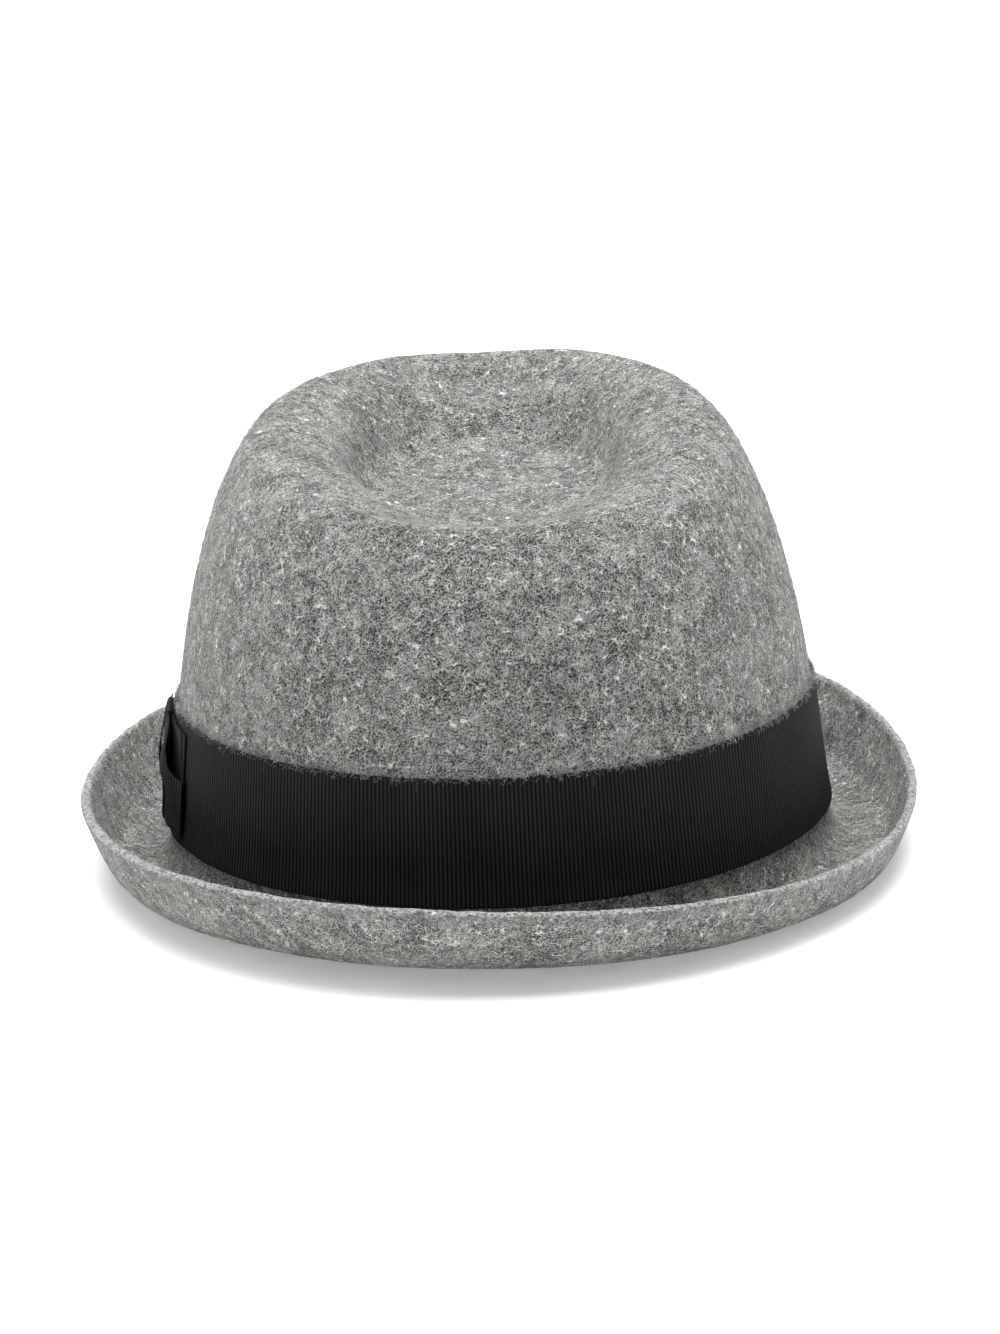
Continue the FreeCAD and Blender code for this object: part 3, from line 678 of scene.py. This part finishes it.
def make_ribbon(material):
    """The band: raised ribs, a slightly flared foot and woven edges that curl with the ribs."""
    turn = turns(RIB_COUNT * len(RIB_PROFILE))
    rib = np.tile(RIB_PROFILE, RIB_COUNT)
    head = ribbon_head(turn)
    foot = head - RIBBON_WIDTH * MM
    wander = 0.10 * MM * np.sin(turn * 9 + 1.0) + 0.08 * MM * np.sin(turn * 23 + 2.0)
    plain = (RIBBON_GAP + 0.5 * RIBBON_THICKNESS - 0.5 * RIB_RELIEF) * MM
    rows = []
    for share in np.concatenate([[0.0, 0.012], np.linspace(0.05, 0.95, 8), [0.988, 1.0]]):
        flare = 0.35 * MM * (1 - share) ** 6
        edge = 0.1 * MM * rib * abs(2 * share - 1) ** 30 * (2 * share - 1)
        rows.append(on_wall(foot + (head - foot) * share + edge, turn, plain + flare + wander))
    piece = ribbed_cloth("hat_band_ribbon", rows, RIBBON_THICKNESS, material, "hat_band", True)
    girth = float(arc_lengths(rows[6][:: len(RIB_PROFILE)], True)[-1])


# ---- the bow ----

BOW_LAYER = 0.36
BOW_FOOT, BOW_HEAD = 14.0, 41.6
BOW_HALF_LENGTH = 33.0
BOW_ROOT = 5.0
BOW_BEND = 99.0
KEEPER_HALF_WIDTH = 7.5


def on_bow(along, level, out):
    """Points of the bow, in millimetres: along the ribbon from the wearer's left towards the back,
    above the floor, and out from the ribbon's face."""
    face = RIBBON_GAP + RIBBON_THICKNESS
    return on_wall(level * MM, along / BOW_BEND, (face + out) * MM)


def hump(level):
    """The bow stands off the ribbon most a little above its middle, and hardly at its foot."""
    spread = np.where(level < 31.0, 6.5, 9.0)
    return np.exp(-(((level - 31.0) / spread) ** 2))


def bow_strip(name, path, levels, material, node):
    """A ribbed strip that follows a path of (along, out) in millimetres, between two levels."""
    length = float(arc_lengths(path, False)[-1])
    ribs = int(round(length / RIB_PITCH))
    stations = even_path(path, ribs * len(RIB_PROFILE) + 1)
    way = np.linspace(0, 1, len(stations))
    foot, head, puff = levels(way, stations)
    rows = []
    for share in np.linspace(0, 1, 17):
        level = foot + (head - foot) * share
        rows.append(on_bow(stations[:, 0], level, stations[:, 1] + puff * hump(level)))
    piece = ribbed_cloth(name, rows, BOW_LAYER, material, node, False)


def loop_path(side):
    """One loop in plan: its outer layer, the fold and the inner layer. The outer layer always runs
    towards the back, so that the cloth's front is outside."""
    outer, inner = 1.25, 0.7
    fold = (outer - inner) / 2
    tip = BOW_HALF_LENGTH - fold - BOW_LAYER / 2
    path = [(BOW_ROOT + (tip - BOW_ROOT) * share, outer) for share in np.linspace(0, 1, 24)]
    bend = np.linspace(0, math.pi, 12)[1:-1]
    path += [(tip + fold * math.sin(a), inner + fold * (1 + math.cos(a))) for a in bend]
    path += [(tip, inner), (BOW_ROOT, inner)]
    return np.array(path) if side > 0 else np.array(path)[::-1] * (-1.0, 1.0)


def make_loop(name, side, material, node):
    """A loop is gathered at its fold, where its upper edge dips, and its outer layer puffs out."""

    def levels(way, stations):
        reached = np.abs(stations[:, 0])
        on_outer = way < 0.5 if side > 0 else way > 0.5
        early = np.clip((reached - 13.0) / 19.0, 0, 1)
        late = np.clip((reached - 27.0) / 5.0, 0, 1)
        gather = np.where(on_outer, early ** 2 * (3 - 2 * early), late ** 2 * (3 - 2 * late))
        middle = np.clip((reached - BOW_ROOT) / (BOW_HALF_LENGTH - BOW_ROOT), 0, 1)
        puff = np.where(on_outer, 2.6 * np.sin(math.pi * middle ** 1.3) ** 1.5 + 0.5 * (1 - late), 0.0)
        return BOW_FOOT + 1.5 * gather, BOW_HEAD - 12.0 * gather, puff

    bow_strip(name, loop_path(side), levels, material, node)


def make_keeper(material):
    """The wrap round the bow's waist: a closed band of the same ribbon, whose ribs lie level."""
    angle = turns(2000)
    level = 27.8 + 14.3 * squared(np.sin(angle), 0.2)
    path = np.stack([level, 0.98 + 0.78 * squared(np.cos(angle), 0.2)], axis=1)
    length = float(arc_lengths(path, True)[-1])
    ribs = int(round(length / RIB_PITCH))
    stations = even_path(path, ribs * len(RIB_PROFILE), closed=True)
    rows = []
    level, out = stations.T
    stand = np.clip(out - 0.3, 0, None) / 1.4 * hump(level)
    for share in np.linspace(-1, 1, 11):
        along = np.full(len(level), -KEEPER_HALF_WIDTH * share)
        rows.append(on_bow(along, level, out + stand * (1.3 + 0.3 * share ** 2)))
    piece = ribbed_cloth("bow_keeper_wrap", rows, BOW_LAYER, material, "bow_keeper", True)


def make_bow(material):
    def flat_levels(way, stations):
        return np.full(len(way), BOW_FOOT), np.full(len(way), BOW_HEAD), 0.0

    reach = BOW_HALF_LENGTH - 1.6
    plain = np.array([(-reach, 0.28), (reach, 0.28)])
    bow_strip("bow_backing_strip", plain, flat_levels, material, "bow_backing")
    make_loop("bow_loop_rear_fold", 1, material, "bow_loop_rear")
    make_loop("bow_loop_front_fold", -1, material, "bow_loop_front")
    make_keeper(material)


# ---- inside the head opening ----

SWEATBAND_FOOT, SWEATBAND_HEAD = 5.0, 37.0
SWEATBAND_GAP, SWEATBAND_THICKNESS = 0.4, 1.0
# Two lines are pressed into the leather near its free edge, and its rows are close together there.
PRESSED_LINES = (33.4, 35.6)
SWEATBAND_LEVELS = [5.0, 5.3, *np.linspace(6, 31.5, 18), 32.3, 33.0]
SWEATBAND_LEVELS += [33.4, 33.8, 34.5, 35.2, 35.6, 36.0, 36.7, 37.0]
LINING_FOOT, LINING_HEAD = 38.0, 78.0
LINING_GAP, LINING_THICKNESS, LINING_HIDDEN_DEPTH = 0.8, 0.5, 0.22
TIP_HALF_WIDTH, TIP_HALF_LENGTH, TIP_SHIFT, TIP_LEVEL = 71.1, 82.1, 1.0, 77.85
# Half width, half length, shift towards the back, level and radius of the two oval cords.
PIPING = (72.0, 83.0, 1.0, 77.8, 0.7)
REED = (85.0, 97.9, -0.28, 3.4, 0.8)
STITCH_COUNT, STITCH_LENGTH, STITCH_LEVEL = 84, 4.0, 9.0
TACK_COUNT, TACK_DROP = 12, 2.2


def make_sweatband():
    """A strip of thin leather round the head opening. Returns it with its length."""
    turn = turns(720)[::-1]
    rows = []
    relief = []
    for level in SWEATBAND_LEVELS:
        share = (level - SWEATBAND_FOOT) / (SWEATBAND_HEAD - SWEATBAND_FOOT)
        slack = (0.35 * np.sin(5 * turn + 0.7) + 0.25 * np.sin(13 * turn)) * share ** 2
        depth = SWEATBAND_GAP + SWEATBAND_THICKNESS / 2 + 0.1 * share ** 2 + 0.25 * np.abs(slack)
        rows.append(on_wall(level * MM, turn, -depth * MM))
        pressed = sum(math.exp(-(((level - line) / 0.35) ** 2)) for line in PRESSED_LINES)
        relief.append(np.full(len(turn), -0.22 * MM * pressed))
    middle = np.array(rows)
    relief = np.array(relief) + uneven(middle, (7, 0.08, 3.3))
    thickness = 0.9 * SWEATBAND_THICKNESS * MM
    piece = cloth_object("sweatband_leather", middle, thickness, relief, closed=True)
    dress(piece, leather_material(), "hat", "sweat_leather", "sweatband")
    return piece, float(arc_lengths(rows[12], True)[-1])


def oval_cord(name, oval, plies, winds):
    """A closed cord round an oval, with plies wound about it."""
    half_width, half_length, shift, level, radius = oval
    turn = turns(1440)
    section = turns(12)[:, None]
    bulge = radius * (1 - 0.07 + 0.07 * np.cos(plies * section - winds * turn))
    side, back, flat = np.cos(turn), np.sin(turn), np.zeros(len(turn))
    sideways = unit(np.stack([half_length * side, half_width * back, flat], axis=-1))
    centre = np.stack([half_width * side, shift + half_length * back, flat + level], axis=-1)
    lift = np.array([0.0, 0.0, 1.0])
    points = centre + (bulge * np.cos(section))[..., None] * sideways
    points += (bulge * np.sin(section))[..., None] * lift
    return grid_object(name, points * MM, wrap_rows=True)


def wall_stitches(name, count, length, level, sink, rise, radius, upright):
    """Stitches that leave the cloth, lie over it and go back in. level gives metres at a turn, and
    sink and rise are metres outside the felt's outer wall, or inside it if negative."""
    turn = (np.arange(count) + 0.5) * 2 * math.pi / count
    over = np.array([0.0, 0.55, 0.9, 1.0, 0.9, 0.55, 0.0])
    way = np.linspace(-0.5, 0.5, len(over)) * length
    near = 0.01
    pace = on_wall(level(turn), turn + near, rise) - on_wall(level(turn), turn - near, rise)
    per_metre = 2 * near / np.linalg.norm(pace, axis=-1)
    stations = []
    for step, share in zip(way, over):
        distance = np.full(count, sink + (rise - sink) * share)
        at = turn if upright else turn + step * per_metre
        stations.append(on_wall(level(turn) + (step if upright else 0.0), at, distance))
    spines = np.array(stations).transpose(1, 0, 2)
    side = unit(on_wall(level(turn), turn, rise) - on_wall(level(turn), turn, rise - 5 * MM))
    return tubes_object(name, spines, radius * np.array([0.8, 1, 1, 1, 1, 1, 0.8]), side, sides=8)


def make_lining_side():
    """The side panel, gathered into the seam at its head, with its edges behind the sweatband and
    the piping, close to the felt."""
    turn = turns(1200)[::-1]
    rows = []
    hidden = [LINING_FOOT - 2.6, LINING_FOOT - 1.9, LINING_FOOT - 1.1]
    hidden += [LINING_HEAD + 0.3, LINING_HEAD + 1.0, LINING_HEAD + 1.7]
    for level in sorted([*hidden, *np.linspace(LINING_FOOT + 0.3, LINING_HEAD - 0.4, 24)]):
        share = np.clip((level - LINING_FOOT) / (LINING_HEAD - LINING_FOOT), 0, 1)
        gather = 0.45 * share ** 2 * (1 + np.sin(96 * turn + 1.7 * np.sin(7 * turn)))
        belly = 0.9 * math.sin(math.pi * share) * (1 + 0.6 * np.sin(9 * turn + 2 * share))
        depth = LINING_GAP + LINING_THICKNESS / 2 + gather + belly
        if level in hidden:
            depth = np.full(len(turn), LINING_HIDDEN_DEPTH)
        rows.append(on_wall(level * MM, turn, -depth * MM))
    panel = cloth_object("lining_side_panel", np.array(rows), LINING_THICKNESS * 0.6 * MM, closed=True)
    dress(panel, satin_material("lining_side_satin"), "hat", "lining_cloth", "lining_side")
    girth = float(arc_lengths(rows[10], True)[-1])


def make_lining_tip():
    """The oval panel above the head, which sags a little, puckered into the piping round it."""
    turn = turns(720)
    layers = []
    for thickness, shares in ((0.15, np.linspace(0.02, 1, 30)), (-0.15, np.linspace(1, 0.02, 30))):
        for share in shares:
            sag = 2.2 * (1 - share ** 2)
            pucker = 0.28 * np.sin(72 * turn + 2 * np.sin(5 * turn)) * share ** 8
            x = TIP_HALF_WIDTH * share * np.cos(turn)
            y = TIP_SHIFT + TIP_HALF_LENGTH * share * np.sin(turn)
            layers.append(np.stack([x, y, TIP_LEVEL - sag + pucker + thickness], axis=-1) * MM)
    tip = grid_object("lining_tip_panel", np.array(layers), poles=("first", "last"))
    dress(tip, satin_material("lining_tip_satin", flat=True), "hat", "lining_cloth", "lining_tip")
    piping = oval_cord("lining_piping_cord", PIPING, 3, 260)
    material = thread_material("piping_cord", (0.02, 0.021, 0.025), (0.055, 0.058, 0.07))
    dress(piping, material, "hat", "piping_cloth", "lining_piping")


def inside_frame(turn, level, gap, plumb=False):
    """A frame on the sweatband's head side, in metres: its origin, along the wall, out and up."""
    depth = -(SWEATBAND_GAP + SWEATBAND_THICKNESS + gap) * MM
    point, ahead, above = (
        on_wall(np.array([height * MM]), np.array([at]), np.array([depth]))[0]
        for at, height in ((turn, level), (turn - 0.05, level), (turn, level + 1.0))
    )
    along = unit(ahead - point)
    up = np.array([0.0, 0.0, 1.0]) if plumb else unit(above - point)
    out = unit(np.cross(up, along))
    return point, unit(np.cross(out, up)), out, up


def label_object(name, frame_at, width, foot, head, thickness, curve):
    """A woven label with turned edges: columns along the wall, rows up it, front towards the head."""
    point, along, out, up = frame_at
    across = np.linspace(-width / 2, width / 2, 45)
    levels = np.linspace(foot, head, 49)
    x, z = np.meshgrid(across, levels)
    border = np.minimum(np.minimum(x + width / 2, width / 2 - x), np.minimum(z - foot, head - z))
    relief = 0.12 * np.clip(1.6 - border, 0, 0.4) / 0.4 + 0.03 * np.sin(x * 9) * np.sin(z * 9)
    bend = curve(x, z)
    middle = point + (x[..., None] * along + z[..., None] * up + bend[..., None] * out) * MM
    return cloth_object(name, middle, 0.7 * thickness * MM, relief * MM)


def make_labels():
    """A size tag on the leather, and a care label that hangs from its upper edge. Both are blank."""
    material = tape_material("label_tape", (0.42, 0.41, 0.38), (0.66, 0.65, 0.61))
    at = inside_frame(math.radians(118.0), 25.0, 0.9)
    size_label = label_object(
        "size_label_tape", at, 14.0, -9.0, 9.0, 0.4, lambda x, z: 0.004 * x * x - 0.1
    )
    dress(size_label, material, "hat", "label_cloth", "size_label")
    at = inside_frame(math.radians(60.0), 36.0, 1.8, plumb=True)
    care = label_object(
        "care_label_tape", at, 22.0, -26.5, 0.5, 0.5,
        lambda x, z: -0.0016 * (z - 0.5) ** 2 + 0.12 * np.sin(x * 0.3 + z * 0.12) * (z / 26.5) ** 2,
    )
    dress(care, material, "care_label", "label_cloth", "care_label")


def make_seam_bow():
    """The small bow over the sweatband's join: two folded ends and a knot."""
    point, along, out, up = inside_frame(math.pi / 2, 16.0, 1.7)
    columns = np.linspace(-9.0, 9.0, 73)
    rows = []
    half = 1.2 + 2.8 * np.abs(columns / 9.0) ** 0.8
    puff = -0.12 * np.sin(np.abs(columns) / 9 * math.pi)
    for share in np.linspace(-1, 1, 21):
        fold = 0.22 * np.sin(share * 3 * math.pi) * np.exp(-np.abs(columns) / 4.5)
        place = columns[:, None] * along + (half * share)[:, None] * up + (fold + puff)[:, None] * out
        rows.append(point + place * MM)
    material = satin_material("seam_bow_satin")
    bow = cloth_object("sweatband_bow_ribbon", np.array(rows), 0.45 * MM)
    dress(bow, material, "hat", "trim_ribbon", "sweatband_bow")
    angle = turns(40)
    wrap = squared(np.cos(angle), 0.6)
    depth = 0.45 * squared(np.sin(angle), 0.6)
    rows = []
    for share in np.linspace(-1, 1, 9):
        half = 1.55 - 0.12 * share ** 2
        place = 1.4 * share * along + (half * wrap)[:, None] * up + depth[:, None] * out
        rows.append(point + place * MM)
    knot = cloth_object("sweatband_bow_knot", np.array(rows), 0.3 * MM, closed=True)
    dress(knot, material, "hat", "trim_ribbon")
    return [bow, knot]


def seam_level(turn):
    return np.full(turn.shape, STITCH_LEVEL * MM)


def tack_level(turn):
    return ribbon_head(turn) - TACK_DROP * MM


def make_stitches():
    """The sweatband's seam, a row of stitches along its foot. Returns it."""
    face = -(SWEATBAND_GAP + SWEATBAND_THICKNESS) * MM
    sink, rise = face + 0.5 * MM, face - 0.3 * MM
    stitches = wall_stitches(
        "sweatband_seam", STITCH_COUNT, STITCH_LENGTH * MM, seam_level, sink, rise, 0.24 * MM, False
    )
    material = thread_material("seam_thread", (0.10, 0.075, 0.055), (0.28, 0.22, 0.17))
    return dress(stitches, material, "hat", "light_thread", "sweatband_stitches")


def make_tacks():
    """Short upright stitches that hold the ribbon to the felt."""
    face = (RIBBON_GAP + RIBBON_THICKNESS) * MM
    sink, rise = face - 0.3 * MM, face + 0.12 * MM
    tacks = wall_stitches(
        "ribbon_tack_threads", TACK_COUNT, 3.0 * MM, tack_level, sink, rise, 0.12 * MM, True
    )
    material = thread_material("black_thread", (0.004, 0.004, 0.005), (0.014, 0.014, 0.016))
    dress(tacks, material, "hat", "dark_thread", "ribbon_tacks")


def make_inside():
    sweatband, girth = make_sweatband()
    reed = oval_cord("sweatband_reed_cord", REED, 1, 420)
    cover = tape_material("reed_cover", (0.02, 0.014, 0.01), (0.07, 0.048, 0.034))
    dress(reed, cover, "hat", "reed_plastic", "sweatband_reed")
    stitches = make_stitches()
    make_tacks()
    seam_bow = make_seam_bow()
    make_lining_side()
    make_lining_tip()
    make_labels()


# ---- stage, light and camera ----

CAMERA_DISTANCE = 1.5
CAMERA_LENS = 153.8
CAMERA_HEIGHT_ANGLE = math.radians(14.0)
CAMERA_SIDE_ANGLE = math.radians(0.95)
CAMERA_ROLL = math.radians(2.43)
CAMERA_AIM = Vector((-0.0016, 0.0, 0.0486))


def make_camera():
    """Behind the hat, a little above it, rolled slightly."""
    height, side = CAMERA_HEIGHT_ANGLE, CAMERA_SIDE_ANGLE
    level = math.cos(height)
    back = Vector((math.sin(side) * level, math.cos(side) * level, math.sin(height)))
    basis = back.to_track_quat("Z", "Y").to_matrix() @ Matrix.Rotation(-CAMERA_ROLL, 3, "Z")
    data = bpy.data.cameras.new("camera")
    data.lens = CAMERA_LENS
    data.sensor_width = 36.0
    data.clip_start, data.clip_end = 0.05, 30.0
    camera = bpy.data.objects.new("camera", data)
    bpy.context.scene.collection.objects.link(camera)
    camera.matrix_world = Matrix.Translation(CAMERA_AIM + back * CAMERA_DISTANCE) @ basis.to_4x4()
    bpy.context.scene.camera = camera


FLOOR_HALF_SIZE = 40.0
# The floor glows a little, and more where it is further off. Places are shares of the reach.
FLOOR_REACH = 4.0
FLOOR_GLOW = [(0.25, 0.27), (0.75, 0.65)]
# The sky lights the hat less brightly than the backdrop looks.
SKY_STRENGTH, BACKDROP_STRENGTH = 0.33, 0.95
# Place, target, size and power of each soft light.
LIGHTS = {
    "top": ((0.0, -0.25, 1.7), (0, 0, 0.05), (1.6, 1.6), 60.0),
    "side_left": ((1.5, -0.2, 0.7), (0, 0, 0.06), (1.0, 1.2), 4.0),
    "side_right": ((-1.5, -0.2, 0.7), (0, 0, 0.06), (1.0, 1.2), 2.3),
}


def make_light(name, place, target, size, power):
    data = bpy.data.lights.new(name, "AREA")
    data.shape = "RECTANGLE"
    data.size, data.size_y = size
    data.energy = power
    lamp = bpy.data.objects.new(name, data)
    lamp.location = place
    lamp.rotation_euler = (Vector(target) - Vector(place)).to_track_quat("-Z", "Y").to_euler()
    bpy.context.scene.collection.objects.link(lamp)


def make_stage():
    """A plain pale floor under an even sky, with a wide light above and a small one at each side."""
    ends = (-FLOOR_HALF_SIZE, FLOOR_HALF_SIZE)
    grid = np.array([[(x, y, 0.0) for x in ends] for y in ends])
    floor = grid_object("floor", grid, wrap_columns=False)
    nodes = Nodes("floor_paper", 0.9, Specular_IOR_Level=0.1, Emission_Color=(1.0,) * 4)
    nodes.colour(nodes.ramp(nodes.noise(nodes.place, 0.4), [(0.3, 0.90), (0.7, 0.92)]))
    away = nodes.add("ShaderNodeVectorMath", {0: nodes.place}, operation="LENGTH").outputs["Value"]
    glow = nodes.ramp(nodes.value("DIVIDE", away, FLOOR_REACH), FLOOR_GLOW)
    nodes.put(glow, nodes.shader.inputs["Emission Strength"])
    floor.data.materials.append(nodes.material)
    world = bpy.data.worlds.new("studio")
    world.use_nodes = True
    tree = world.node_tree
    sky = tree.nodes["Background"]
    backdrop = tree.nodes.new("ShaderNodeBackground")
    for background, strength in ((sky, SKY_STRENGTH), (backdrop, BACKDROP_STRENGTH)):
        background.inputs["Color"].default_value = (1.0,) * 4
        background.inputs["Strength"].default_value = strength
    chosen = tree.nodes.new("ShaderNodeMixShader")
    seen = tree.nodes.new("ShaderNodeLightPath").outputs["Is Camera Ray"]
    for source, socket in zip((seen, sky.outputs[0], backdrop.outputs[0]), chosen.inputs):
        tree.links.new(source, socket)
    tree.links.new(chosen.outputs[0], tree.nodes["World Output"].inputs["Surface"])
    bpy.context.scene.world = world
    for name, light in LIGHTS.items():
        make_light(name, *light)
    bpy.context.scene.view_settings.view_transform = "Standard"


make_camera()
make_stage()
make_felt()
make_strands(
    "felt_nap_pale", 9500, 11, 0.05 * MM, (2.0 * MM, 5.0 * MM), (0.15 * MM, 0.6 * MM),
    strand_material("pale_wool", (0.36, 0.36, 0.35), (0.62, 0.61, 0.58)),
)
make_strands(
    "felt_nap_dark", 7500, 12, 0.05 * MM, (1.5 * MM, 4.0 * MM), (0.1 * MM, 0.35 * MM),
    strand_material("dark_wool", (0.03, 0.032, 0.035), (0.11, 0.11, 0.11)),
)
make_strands(
    "felt_nap_over_ribbon", 2100, 13, 0.04 * MM, (0.9 * MM, 2.3 * MM), (1.2 * MM, 1.7 * MM),
    strand_material("edge_wool", (0.14, 0.14, 0.14), (0.5, 0.5, 0.48)), zone=(5.0, 5.07),
)
grosgrain = ribbon_material()
make_ribbon(grosgrain)
make_bow(grosgrain)
make_inside()
